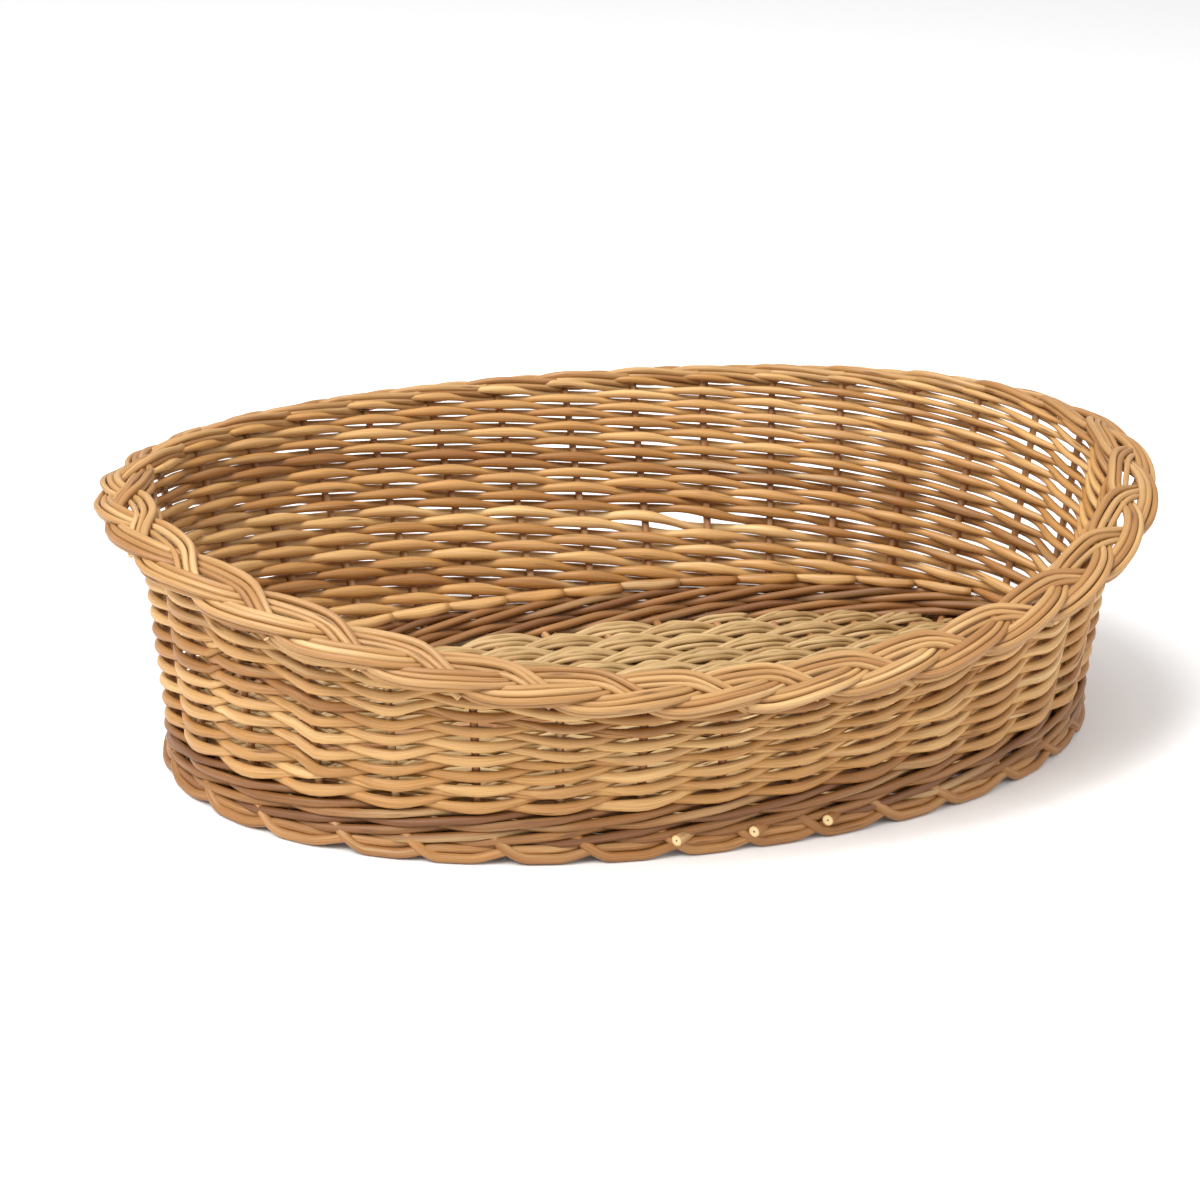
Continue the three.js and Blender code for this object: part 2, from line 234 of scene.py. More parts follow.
class Rods:
    """Rods collected into one mesh, each a tube with closed ends.

    Each carries what its material reads: a tint of its own, its grain's place (along it and
    across it), and on its cut ends how far out from the pith a point is."""

    def __init__(self, sides=8):
        self.sides = sides
        self.points, self.grain, self.tint = [], [], []
        self.tubes = []  # for each rod: its first vertex, how far along its points are, its radius
        self.total = 0

    def add(self, points, radius, up=UP, high=None):
        """radius is across the rod and high is its half height, where it isn't round."""
        points = np.asarray(points, float)
        n, m = len(points), self.sides
        wide = np.broadcast_to(np.asarray(radius, float), n)
        high = wide if high is None else np.broadcast_to(np.asarray(high, float), n)
        forward = unit(np.gradient(points, axis=0))
        side = unit(np.cross(forward, np.broadcast_to(up, (n, 3))))
        other = np.cross(side, forward)
        angle = 2 * math.pi * np.arange(m) / m
        a = wide[:, None] * np.cos(angle)
        b = high[:, None] * np.sin(angle)
        skin = points[:, None] + side[:, None] * a[..., None] + other[:, None] * b[..., None]
        s = lengths(points)
        start = rng.uniform(0, GRAIN_RANGE, 3)
        grain = np.stack([np.broadcast_to(s[:, None], (n, m)), a, b], -1) + start
        pith = np.stack([s[[0, -1]], np.zeros(2), np.zeros(2)], -1) + start
        self.points += [skin.reshape(-1, 3), points[[0, -1]]]
        self.grain += [grain.reshape(-1, 3), pith]
        self.tint.append(np.full(n * m + 2, rng.uniform()))
        self.tubes.append((self.total, s, float(wide.max())))
        self.total += n * m + 2

    def skin_faces(self, first, n):
        """A tube's quads, and how many points along it and sides round it each one is."""
        m = self.sides
        i, j = np.meshgrid(np.arange(n - 1), np.arange(m), indexing="ij")
        k = (j + 1) % m
        quads = np.stack([i * m + j, (i + 1) * m + j, (i + 1) * m + k, i * m + k], -1)
        return first + quads.reshape(-1, 4), i.ravel(), j.ravel()

    def end_faces(self, first, n):
        """The two fans of triangles that close a tube."""
        m = self.sides
        ring = np.arange(m)
        after = (ring + 1) % m
        last = first + (n - 1) * m
        pith = np.full(m, first + n * m)
        butt = np.stack([pith, first + ring, first + after], -1)
        tip = np.stack([pith + 1, last + after, last + ring], -1)
        return np.concatenate([butt, tip])

    def build(self, name, material, cad_nodes, slot):
        """Makes the mesh, and hides the CAD nodes it stands for."""
        quads = np.concatenate([self.skin_faces(first, len(s))[0] for first, s, _ in self.tubes])
        fans = np.concatenate([self.end_faces(first, len(s)) for first, s, _ in self.tubes])
        corners = np.concatenate([quads.ravel(), fans.ravel()])
        starts = np.concatenate([np.arange(len(quads)) * 4, quads.size + np.arange(len(fans)) * 3])
        mesh = bpy.data.meshes.new(name)
        mesh.vertices.add(self.total)
        mesh.vertices.foreach_set("co", np.concatenate(self.points).ravel())
        mesh.loops.add(len(corners))
        mesh.loops.foreach_set("vertex_index", corners)
        mesh.polygons.add(len(starts))
        mesh.polygons.foreach_set("loop_start", starts)
        mesh.update(calc_edges=True)
        mesh.validate()
        sharp = mesh.attributes.new("sharp_face", "BOOLEAN", "FACE")
        sharp.data.foreach_set("value", np.arange(len(starts)) >= len(quads))
        tint = mesh.attributes.new("tint", "FLOAT", "POINT")
        tint.data.foreach_set("value", np.concatenate(self.tint))
        grain = mesh.attributes.new("grain", "FLOAT_VECTOR", "POINT")
        grain.data.foreach_set("vector", np.concatenate(self.grain).ravel())
        cut = mesh.attributes.new("cut", "FLOAT", "CORNER")
        on_ends = np.tile([0.0, 1.0, 1.0], len(fans))
        cut.data.foreach_set("value", np.concatenate([np.full(quads.size, -1.0), on_ends]))
        layer = mesh.uv_layers.new(name="OFBake")
        layer.uv.foreach_set("vector", self.bake_map().ravel().astype(np.float32))
        mesh.materials.append(material)
        piece = bpy.data.objects.new(name, mesh)
        bpy.context.scene.collection.objects.link(piece)
        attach(piece, "root")
        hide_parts(*cad_nodes)

    def bake_map(self):
        """UV places for baking: each rod's skin in strips as long as the map is wide, then the ends."""
        m = self.sides
        room = sum(2 * math.pi * radius * (s[-1] + STRIP_END) for _, s, radius in self.tubes)
        width = math.sqrt(room * STRIP_SPARE) + MAP_MARGIN
        skins, ends = [], []
        down = 0.0
        for first, s, radius in self.tubes:
            girth = 2 * math.pi * radius
            _, i, j = self.skin_faces(first, len(s))
            row = np.floor(s[i] / width)
            along = np.stack([s[i], s[i + 1], s[i + 1], s[i]], -1) - row[:, None] * width
            around = np.stack([j, j, j + 1, j + 1], -1) / m * girth
            place = down + row[:, None] * girth * STRIP_PITCH + around
            skins.append(np.stack([along, place], -1).reshape(-1, 2))
            down += (row.max() + 1) * girth * STRIP_PITCH
        angle = 2 * math.pi * np.arange(m) / m
        circle = np.stack([np.cos(angle), np.sin(angle)], -1)
        across = 0.0
        for radius in np.repeat([radius for _, _, radius in self.tubes], 2):
            middle = np.array([across + radius, down + radius])
            ring = middle + radius * circle
            fan = np.stack([np.broadcast_to(middle, (m, 2)), ring, np.roll(ring, -1, 0)], 1)
            ends.append(fan.reshape(-1, 2))
            across += END_PITCH * radius
            if across > width - 2 * radius:
                across, down = 0.0, down + END_PITCH * radius
        places = np.concatenate(skins + ends)
        return places / (places.max() * MAP_EDGE)


# ---------------------------------------------------------------- materials

# How often each pattern repeats in a metre: along the rod, and across it both ways
STAIN_SCALE = (9.0, 40.0, 40.0)
PALE_SCALE = (5.0, 90.0, 90.0)
STREAK_SCALE = (28.0, 1500.0, 1500.0)
SCAR_SCALE = (17.0, 150.0, 150.0)

SPECULAR = 0.42
COAT = 0.06
COAT_ROUGHNESS = 0.35
ROUGHEST, SMOOTHEST = 0.62, 0.4
STREAK_STRENGTH = 0.35
STREAK_DEPTH = 0.0004
PALE = "f0d6a0"
PALE_MOST = 0.45
SCAR = "5f3a1c"
SCAR_MOST = 0.75
STREAK_STOPS = [(0.3, [0.72, 0.68, 0.62, 1]), (0.62, [1.06, 1.06, 1.05, 1])]  # they multiply the colour
CUT_STOPS = [(0.0, "6b4526"), (0.16, "7a512e"), (0.24, "e8d2a4"), (0.8, "e3c58c"), (0.97, "b98d55")]


def linear(hex_colour):
    """An sRGB colour as the linear values that a shader takes."""
    values = [int(hex_colour[i : i + 2], 16) / 255 for i in (0, 2, 4)]
    return [v / 12.92 if v <= 0.04045 else ((v + 0.055) / 1.055) ** 2.4 for v in values] + [1.0]


class Nodes:
    """A new material, with short ways to add nodes to it."""

    def __init__(self, name):
        self.material = bpy.data.materials.new(name)
        self.material.use_nodes = True
        self.tree = self.material.node_tree
        self.shader = self.tree.nodes["Principled BSDF"]

    def add(self, kind, **settings):
        made = self.tree.nodes.new(kind)
        for key, value in settings.items():
            setattr(made, key, value)
        return made

    def link(self, output, socket):
        self.tree.links.new(output, socket)

    def attribute(self, name, output):
        return self.add("ShaderNodeAttribute", attribute_name=name).outputs[output]

    def mix(self, factor, first, second, blend="MIX"):
        made = self.add("ShaderNodeMix", data_type="RGBA", blend_type=blend)
        for socket, value in ((0, factor), (6, first), (7, second)):  # a colour mix's own sockets
            if isinstance(value, (int, float, list)):
                made.inputs[socket].default_value = value
            else:
                self.link(value, made.inputs[socket])
        return made.outputs[2]

    def scaled(self, vector, scale):
        made = self.add("ShaderNodeMapping")
        made.inputs["Scale"].default_value = scale
        self.link(vector, made.inputs["Vector"])
        return made.outputs[0]

    def noise(self, vector, scale, detail):
        made = self.add("ShaderNodeTexNoise")
        made.inputs["Scale"].default_value = 1.0
        made.inputs["Detail"].default_value = detail
        self.link(self.scaled(vector, scale), made.inputs["Vector"])
        return made.outputs[0]

    def spots(self, vector, scale):
        made = self.add("ShaderNodeTexVoronoi")
        made.inputs["Scale"].default_value = 1.0
        self.link(self.scaled(vector, scale), made.inputs["Vector"])
        return made.outputs["Distance"]

    def spread(self, value, low, high, to_low, to_high):
        made = self.add("ShaderNodeMapRange")
        self.link(value, made.inputs[0])
        for socket, number in enumerate((low, high, to_low, to_high), 1):
            made.inputs[socket].default_value = number
        return made.outputs[0]

    def ramp(self, value, stops):
        made = self.add("ShaderNodeValToRGB")
        while len(made.color_ramp.elements) < len(stops):
            made.color_ramp.elements.new(0.5)
        for element, (place, colour) in zip(made.color_ramp.elements, stops):
            element.position = place
            element.color = colour
        self.link(value, made.inputs[0])
        return made.outputs[0]


def skin_colour(nodes, grain, streaks, tones, stain, stain_most):
    """A tone for each rod, stained and pale stretches, long streaks and bud scars."""
    stops = [(place, linear(tone)) for place, tone in zip(np.linspace(0, 1, len(tones)), tones)]
    colour = nodes.ramp(nodes.attribute("tint", "Fac"), stops)
    stained = nodes.noise(grain, STAIN_SCALE, detail=2.0)
    colour = nodes.mix(nodes.spread(stained, 0.5, 0.78, 0.0, stain_most), colour, linear(stain))
    pale = nodes.noise(grain, PALE_SCALE, detail=2.0)
    colour = nodes.mix(nodes.spread(pale, 0.56, 0.8, 0.0, PALE_MOST), colour, linear(PALE))
    colour = nodes.mix(1.0, colour, nodes.ramp(streaks, STREAK_STOPS), "MULTIPLY")
    scars = nodes.spots(grain, SCAR_SCALE)
    return nodes.mix(nodes.spread(scars, 0.05, 0.16, SCAR_MOST, 0.0), colour, linear(SCAR))


def willow(name, tones, stain, stain_most=0.5):
    """Peeled willow, with its pith and pale wood on the cut ends."""
    nodes = Nodes(name)
    shader = nodes.shader.inputs
    shader["Specular IOR Level"].default_value = SPECULAR
    shader["Coat Weight"].default_value = COAT
    shader["Coat Roughness"].default_value = COAT_ROUGHNESS
    grain = nodes.attribute("grain", "Vector")
    cut = nodes.attribute("cut", "Fac")
    streaks = nodes.noise(grain, STREAK_SCALE, detail=5.0)
    skin = skin_colour(nodes, grain, streaks, tones, stain, stain_most)
    end = nodes.ramp(cut, [(place, linear(tone)) for place, tone in CUT_STOPS])
    on_end = nodes.add("ShaderNodeMath", operation="GREATER_THAN")
    nodes.link(cut, on_end.inputs[0])
    on_end.inputs[1].default_value = -0.5
    nodes.link(nodes.mix(on_end.outputs[0], skin, end), shader["Base Color"])
    nodes.link(nodes.spread(streaks, 0.3, 0.7, ROUGHEST, SMOOTHEST), shader["Roughness"])
    bump = nodes.add("ShaderNodeBump")
    bump.inputs["Strength"].default_value = STREAK_STRENGTH
    bump.inputs["Distance"].default_value = STREAK_DEPTH
    nodes.link(streaks, bump.inputs["Height"])
    nodes.link(bump.outputs[0], shader["Normal"])
    return nodes.material


SIDE = willow("side_willow", ["8f5f2e", "a8783f", "b98a50", "c79d64", "b07f47"], stain="87502a")
# The wale's tones are darker than the side's: painted shade, standing in for the shade low on the wall.
WALE_SHADE_PAINTED = willow("wale_willow_painted_shade", ["704625", "86592c", "986a3b", "7c502a"], stain="643819", stain_most=0.4)
STAKE = willow("stake_willow", ["8b5a34", "a07044", "ab7c50"], stain="7a4a2c")
BORDER_TONES = ["96683a", "a87c48", "b48c5a", "ab814e", "9b6e3e"]
BORDER = willow("rim_willow", BORDER_TONES, stain="84562e", stain_most=0.35)
FLOOR = willow("floor_willow", ["9c7a4c", "ad8d5c", "b89a6c", "a58556"], stain="86643a")
# The foot's tones are darker than the side's too: painted shade at the basket's bottom edge.
FOOT_SHADE_PAINTED = willow("foot_willow_painted_shade", ["8a5c2f", "a06f3c", "ae7e4a", "956535"], stain="744824", stain_most=0.4)


# ---------------------------------------------------------------- the woven side

# A rod starts behind each stake on top of the wale and climbs one row at every stake it passes,
# outside one and inside the next. Some rows leave out the low front, two at a time.

FULL_ROWS = 19  # that go all the way round
EXTRA_PAIRS = 4
ROWS = FULL_ROWS + 2 * EXTRA_PAIRS
PAIR_ORDER = [3, 1, 4, 2]  # how soon, away from the front's middle, each pair starts
FIRST_PAIR_ROW = 3
ROWS_TO_NEXT_PAIR = 6
PAIR_TIP = 0.06  # a pair's rods thin out over this share of the way to the front
LEAST_PRESENCE = 0.05
THINNEST = 0.25  # of a rod's own thickness, where its row isn't there

STEPS = 8  # points from one stake to the next
ROD_START = -0.45  # in rows, from the stake it starts behind
ROD_END = 0.1  # past the last row
SIDE_OVER_TOP = 0.0035  # the last row lies among the plait's lowest rods
SIDE_SUNK = 0.0032  # the first row outside sits between the wale's upper rods
BUTT_RAISED = 0.0024  # and the butts inside lie on top of them
BUTT_TUCK = 0.003
BUTT_ROW, TIP_ROW = 1.16, 0.84  # how much of the height a rod takes at its two ends
THICKEST_ROW = 0.0066
HUMP = 0.36  # how much thicker it looks over a stake than where it passes between two
FLATTEST = 0.0028  # half a rod's greatest thickness through the wall
TIP_THIN = 0.45
TIP_ROWS = 1.3
STAKE_GRIP = 0.9  # shares of a stake's and a rod's radius that keep them apart where they cross
ROD_GRIP = 0.94

# Rods fill more of the height at the front, and less round the right-hand end
TIGHTER_FRONT = 0.1
LOOSER_END = 0.15
LOOSE_PLACE, LOOSE_SPREAD = 2.6 / 34, 0.11

# Where two rows have parted: stakes from the right-hand end, share of the height, half the gap
PARTED = [(6.5, 0.34, 0.0045), (10.3, 0.52, 0.0013), (4.6, 0.3, 0.0014), (5.9, 0.7, 0.0011),
          (12.2, 0.6, 0.0011)]
PARTED_STAKES = 0.9  # how far along the wall a gap reaches
PARTED_SHARPNESS = 30
PARTED_FADE = 9.6


def row_pairs():
    """For each row, the number of its extra pair, or 0 where it goes all the way round."""
    pairs = [0] * ROWS
    for p in range(EXTRA_PAIRS):
        first = FIRST_PAIR_ROW + p * ROWS_TO_NEXT_PAIR
        pairs[first] = pairs[first + 1] = p + 1
    return pairs


PAIRS = row_pairs()


def presence(pair, u):
    """1 where a row of this pair is there, 0 at the front where it is not, and between at its tips."""
    if pair == 0:
        return np.ones_like(u)
    share = (PAIR_ORDER[pair - 1] - 0.5) / EXTRA_PAIRS
    return ease((math.sqrt(1 - share) + backward(u)) / PAIR_TIP + 0.5)


def row_places(row, u):
    """At a row that need not be whole: its share of the height, its own height and its presence."""
    there = np.stack([presence(pair, u) for pair in PAIRS])
    weights = there * np.linspace(BUTT_ROW, TIP_ROW, ROWS)[:, None]
    weights = weights / weights.sum(0)
    middles = np.cumsum(weights, 0) - weights / 2
    low = np.clip(np.floor(row).astype(int), 0, ROWS - 2)
    part = np.maximum(row - low, 0)
    at = np.arange(len(u))

    def between(table):
        return table[low, at] * (1 - part) + table[low + 1, at] * part

    return between(middles), between(weights), between(there)


def parted(u, level):
    """How far a rod near a gap has slid up or down."""
    moved = np.zeros_like(u)
    for stake_place, height, half in PARTED:
        near = np.exp(-(((np.mod(u, 1.0) * STAKES - stake_place) / PARTED_STAKES) ** 2))
        away = level - height
        moved += half * near * np.tanh(away * PARTED_SHARPNESS) * np.exp(-np.abs(away) * PARTED_FADE)
    return moved


def tightness(u):
    turn = np.mod(u - LOOSE_PLACE + 0.5, 1.0) - 0.5
    front = np.clip(-backward(u), 0, 1)
    return 1 + TIGHTER_FRONT * front - LOOSER_END * np.exp(-((turn / LOOSE_SPREAD) ** 2))


def side_rod(j):
    rods = Rods()
    row = np.arange(ROD_START, ROWS + ROD_END, 1 / STEPS)
    u = (j + row) / STAKES
    s = row * STAKE_PITCH
    level, share, there = row_places(row, u)
    bottom = WALE_TOP - SIDE_SUNK
    tall = top_height(u) + SIDE_OVER_TOP - bottom
    pitch = tall / wall_slope(u)[:, 2] * share / np.maximum(there, LEAST_PRESENCE)
    over = np.cos(math.pi * row) ** 2
    build = rng.uniform(0.93, 1.07)
    high = np.minimum(pitch, THICKEST_ROW) / 2 * (1 + HUMP * over) * tightness(u) * build
    high = high * (THINNEST + (1 - THINNEST) * there) * (1 + wander(s, 0.03, longest=0.15))
    high = high * (TIP_THIN + (1 - TIP_THIN) * np.clip((ROWS - row) / TIP_ROWS, 0, 1))
    wide = np.minimum(high, FLATTEST)
    z = bottom + tall * level + parted(u, level) + wander(s, 0.00038, longest=0.22)
    z = z + BUTT_RAISED * np.clip(1 - row, 0, 1.4)
    out = -np.cos(math.pi * row) * (STAKE_RADIUS * STAKE_GRIP + wide * ROD_GRIP)
    out = out + wander(s, 0.0002) - BUTT_TUCK * np.clip(row / ROD_START, 0, 1)
    rods.add(on_wall(u, z, out), wide, up=wall_slope(u), high=high)
    cad = [f"side_weave_set_{1 + j * 3 // STAKES:02d}"]
    rods.build(f"side_rod_{j + 1:02d}", SIDE, cad, "side_willow")


# ---------------------------------------------------------------- the wale and the stakes

WALE_RODS = 4
WALE_ROUNDS = 2
WALE_ROD_RADIUS = (WALE_TOP - WALE_BOTTOM) / WALE_ROUNDS / 4
WALE_SWING = 0.75  # a rod rises and falls by this much of its thickness each way
WALE_HOLD = 1.35  # how firmly it lies against the stakes between its turns
WALE_STEP_UP = STAKES - 2.5  # where it starts up to the second round,
WALE_CLIMB = 3  # and over how many stakes it gets there
WALE_SETTLED = 0.98
WALE_GRIP = 0.96

LEG_LENGTH = 0.03  # of a stake, in the floor
STAKE_BEND = 0.009
TOP_UP, TOP_OUT = 0.0035, 0.002  # a stake's top goes up into the plait
BEND_STEPS = 7
UPRIGHT_STEPS = 13
UPRIGHT_LENGTH = 0.16


def wale_rod(i):
    """In front of two stakes, rising, and behind two, falling."""
    rods = Rods(sides=10)
    reach = WALE_ROUNDS * STAKES + 2
    x = np.linspace(0, reach, reach * STEPS + 1)
    u = (x + i - 0.5) / STAKES
    turn = 2 * math.pi * x / WALE_RODS
    radius = WALE_ROD_RADIUS * rng.uniform(1.02, 1.12) * taper(len(x), 1.06, 0.95)
    out = np.clip(WALE_HOLD * np.sin(turn), -1, 1) * (STAKE_RADIUS + radius * WALE_GRIP)
    step = 2 * WALE_ROD_RADIUS
    climb = 2 * step * ease((x - WALE_STEP_UP) / WALE_CLIMB) * WALE_SETTLED
    z = WALE_BOTTOM + step * (1 - WALE_SWING * np.cos(turn)) + climb + wander(x * BASE_PITCH, 0.0003)
    rods.add(on_wall(u, z, out), radius, up=wall_slope(u))
    rods.build(f"wale_rod_{i + 1:02d}", WALE_SHADE_PAINTED, ["upsett_wale"], "side_willow")


def stake(k):
    """A leg in the floor, a bend, and an upright that sways a little."""
    rods = Rods()
    u = k / STAKES
    outward = BASE.outward(u)
    along = at_height(np.stack([-outward[1], outward[0]]), 0)
    foot = on_wall(u, FLOOR_MIDDLE, 0.0)
    top = on_wall(u, top_height(u) + TOP_UP, TOP_OUT)
    inward = -at_height(outward, 0)
    bend_in = foot + inward * STAKE_BEND
    bend_up = foot + wall_slope(u) * STAKE_BEND
    t = np.linspace(0, 1, BEND_STEPS)[:, None]
    bend = (1 - t) ** 2 * bend_in + 2 * t * (1 - t) * foot + t**2 * bend_up
    rise = np.linspace(0, 1, UPRIGHT_STEPS + 1)[1:, None]
    sway = wander(np.linspace(0, UPRIGHT_LENGTH, UPRIGHT_STEPS), 0.0005, longest=0.25)
    upright = bend_up + (top - bend_up) * rise + along * (sway * np.linspace(0, 1, UPRIGHT_STEPS))[:, None]
    points = np.concatenate([[foot + inward * LEG_LENGTH], bend, upright])
    radius = STAKE_RADIUS * rng.uniform(0.94, 1.05) * taper(len(points), 1.0, 0.9)
    rods.add(points, radius, up=along)
    rods.build(f"stake_{k + 1:02d}", STAKE, [f"side_stake_{k + 1:02d}"], "stake_willow")


# ---------------------------------------------------------------- the plait

PLAIT_ROD_RADIUS = 0.00238
ROD_SPACING = 0.0047
UNDER_SPACING = 0.0042
DEPTH, UNDER_DEPTH = 0.001, -0.0026  # where the seen rods of a strand lie, and the ones under them
RODS_ABREAST = 3
UNDER_REPEATS = 2.0
PLAIT_STEPS = 30  # points in one repeat
PLAIT_CLEARANCE = 0.0007  # under the plait in CAD
PLAIT_SUNK = 0.003
LIFT = 0.003
ROD_STACK = 0.0048  # how far rods lie over each other where their strand is narrow
END_SINK = 0.003  # a rod's ends are tucked in
SINK_REPEATS = 0.1
STRAND_NEARBY = 0.0012
FIRST_ROD = 0.1  # in repeats, where a strand's first rod starts

# A strand over one repeat: it turns in at the outer edge, slants across on top, dives under the
# next strand, runs along the inner edge, comes back over that strand and goes under the other one.
# The first number of each pair is how far through the repeat. The second is in millimetres for
# ACROSS, and a share of LIFT or of the rods' spacing for the others.
ACROSS_KEYS = [(0.0, -1.0), (0.05, 4.5), (0.1, 9.5), (0.15, 12.6), (0.22, 14.0), (0.32, 13.2),
               (0.42, 10.4), (0.52, 5.6), (0.59, -0.5), (0.635, -6.4), (0.69, -9.4), (0.76, -10.3),
               (0.84, -10.5), (0.9, -9.9), (0.95, -7.4)]
THROUGH_KEYS = [(0.0, 0.75), (0.05, 0.1), (0.12, -1.0), (0.2, -0.7), (0.3, 0.2), (0.4, 0.9),
                (0.5, 0.75), (0.57, 0.0), (0.64, -0.8), (0.71, -0.55), (0.78, 0.0), (0.86, 0.4),
                (0.94, 0.75)]
SPREAD_KEYS = [(0.0, 0.9), (0.1, 0.85), (0.22, 1.0), (0.46, 1.0), (0.6, 0.95), (0.7, 1.05),
               (0.84, 1.1), (0.93, 1.1)]


def cycle(keys, turns, soft=0.028, samples=720):
    """A smooth curve through the keys that repeats with every whole turn."""
    places = np.arange(samples) / samples
    xs, ys = zip(*keys)
    values = np.interp(places, xs, ys, period=1)
    away = np.minimum(places, 1 - places)
    kernel = np.exp(-((away / soft) ** 2) / 2)
    kernel /= kernel.sum()
    smooth = np.real(np.fft.ifft(np.fft.fft(values) * np.fft.fft(kernel)))
    return np.interp(np.mod(turns, 1.0), places, smooth, period=1)


def plait_middle(u):
    lowest = top_height(u) - PLAIT_OUT * math.tan(PLAIT_TILT)
    thickness = (CAD_LIFT + STRAND_THICKNESS / 2 + PLAIT_CLEARANCE) / math.cos(PLAIT_TILT)
    return at_height(RIM.at(u) + RIM.outward(u) * PLAIT_OUT, lowest + thickness - PLAIT_SUNK)


def plait_axes(u):
    """Along the rim, across the tilted plait and out through its top."""
    along = unit(plait_middle(u + NEARBY) - plait_middle(u - NEARBY))
    across = at_height(RIM.outward(u) * math.cos(PLAIT_TILT), -math.sin(PLAIT_TILT))
    across = unit(across - along * np.sum(across * along, -1, keepdims=True))
    return along, across, np.cross(across, along)


def strand_point(u, strand):
    _, across, through = plait_axes(u)
    turns = PLAIT_REPEATS * u + strand / PLAIT_STRANDS
    swing = (0.001 * cycle(ACROSS_KEYS, turns))[..., None]
    lift = (LIFT * cycle(THROUGH_KEYS, turns))[..., None]
    return plait_middle(u) + across * swing + through * lift


def plait_rod(rods, strand, first, repeats, spacing, depth, stack, radius):
    """One rod of a strand, that drifts from one of its edges to the other."""
    n = int(repeats * PLAIT_STEPS)
    turns = np.linspace(0, repeats, n)
    u = (turns + first) / PLAIT_REPEATS
    middle = strand_point(u, strand)
    forward = unit(strand_point(u + STRAND_NEARBY, strand) - strand_point(u - STRAND_NEARBY, strand))
    _, _, through = plait_axes(u)
    wide = unit(np.cross(forward, through))
    thick = np.cross(wide, forward)
    spread = cycle(SPREAD_KEYS, PLAIT_REPEATS * u + strand / PLAIT_STRANDS)
    s = lengths(middle)
    sink = np.clip(1 - turns / SINK_REPEATS, 0, 1)
    sink = sink + np.clip(1 - (repeats - turns) / SINK_REPEATS, 0, 1)
    side = (turns / repeats - 0.5) * repeats * spacing * spread + wander(s, 0.0004)
    down = depth + stack * (1 - spread) * ROD_STACK + wander(s, 0.0003) - END_SINK * sink
    points = middle + wide * side[:, None] + thick * down[:, None]
    rods.add(points, radius * taper(n, 1.1, 0.82), up=thick)


def plait_strand(strand):
    """In each repeat a new rod joins on top and another one half a repeat on, under them."""
    rods = Rods(sides=10)
    for i in range(PLAIT_REPEATS):
        first = i - strand / PLAIT_STRANDS + FIRST_ROD + rng.uniform(-0.02, 0.02)
        stack = 1 if i % 2 else -1
        radius = PLAIT_ROD_RADIUS * rng.uniform(0.95, 1.08)
        plait_rod(rods, strand, first, RODS_ABREAST, ROD_SPACING, DEPTH, stack, radius)
        radius = PLAIT_ROD_RADIUS * rng.uniform(0.85, 1.0)
        plait_rod(rods, strand, first + 0.5, UNDER_REPEATS, UNDER_SPACING, UNDER_DEPTH, 0, radius)
    name = f"plait_strand_{strand + 1:02d}"
    rods.build(f"{name}_rods", BORDER, [name], "rim_willow")


# ---------------------------------------------------------------- the foot border

FOOT_ROD_RADIUS = 0.0031
FOOT_START = 0.0178  # the height at which a rod comes out from under the wale
FOOT_START_OUT = 0.0012
FOOT_LOW_OUT = 0.0064  # further out than that, where it lies low
FOOT_RISE_IN = 0.0022  # then inwards as it rises
FOOT_END_IN = 0.005  # and as its tip goes in behind
FOOT_LOW, FOOT_HIGH = 1.08, 2.8  # heights of its middle, in radii
FOOT_LEAST = 1.03

CUT_ENDS = [24.4, 25.4, 26.4]  # stakes of the front where a butt shows
BUTT_RADIUS = 0.0036
BUTT_HEIGHT = 0.0128
BUTT_OUT, BUTT_DEPTH = 0.0118, 0.0125  # its face, and how far in it goes from there
BUTT_STAKES = 0.3  # how far it slants along the foot
BUTT_POINTS = 6


def foot_rod(rods, start):
    """Comes down outside the wall, lies low for a stake, then rises behind the next one's slant."""
    x = np.concatenate([np.linspace(0, 0.9, 16), np.linspace(1.0, 2.9, 24)])
    u = (start + x) / STAKES
    s = x * BASE_PITCH
    down = ease(x / 0.62)
    up = ease((x - 0.95) / 0.6)
    inside = ease((x - 1.9) / 0.6)
    low, high = FOOT_ROD_RADIUS * FOOT_LOW, FOOT_ROD_RADIUS * FOOT_HIGH
    z = FOOT_START + (low - FOOT_START) * down + (high - low) * up + wander(s, 0.0003)
    out = FOOT_START_OUT + FOOT_LOW_OUT * ease(x / 0.42) - FOOT_RISE_IN * up - FOOT_END_IN * inside
    out = out + wander(s, 0.0003)
    radius = FOOT_ROD_RADIUS * rng.uniform(0.95, 1.08) * taper(len(x), 1.05, 0.88)
    rods.add(beside_base(u, np.maximum(z, radius * FOOT_LEAST), out), radius)


def foot_border():
    rods = Rods(sides=10)
    for i in range(STAKES):
        foot_rod(rods, i + rng.uniform(-0.1, 0.1))
    for k in CUT_ENDS:
        part = np.linspace(0, 1, BUTT_POINTS)
        u = (k + BUTT_STAKES * part) / STAKES
        rods.add(beside_base(u, BUTT_HEIGHT, BUTT_OUT - BUTT_DEPTH * part), BUTT_RADIUS)
    rods.build("foot_border_rods", FOOT_SHADE_PAINTED, ["foot_border"], "stake_willow")


# ---------------------------------------------------------------- the floor

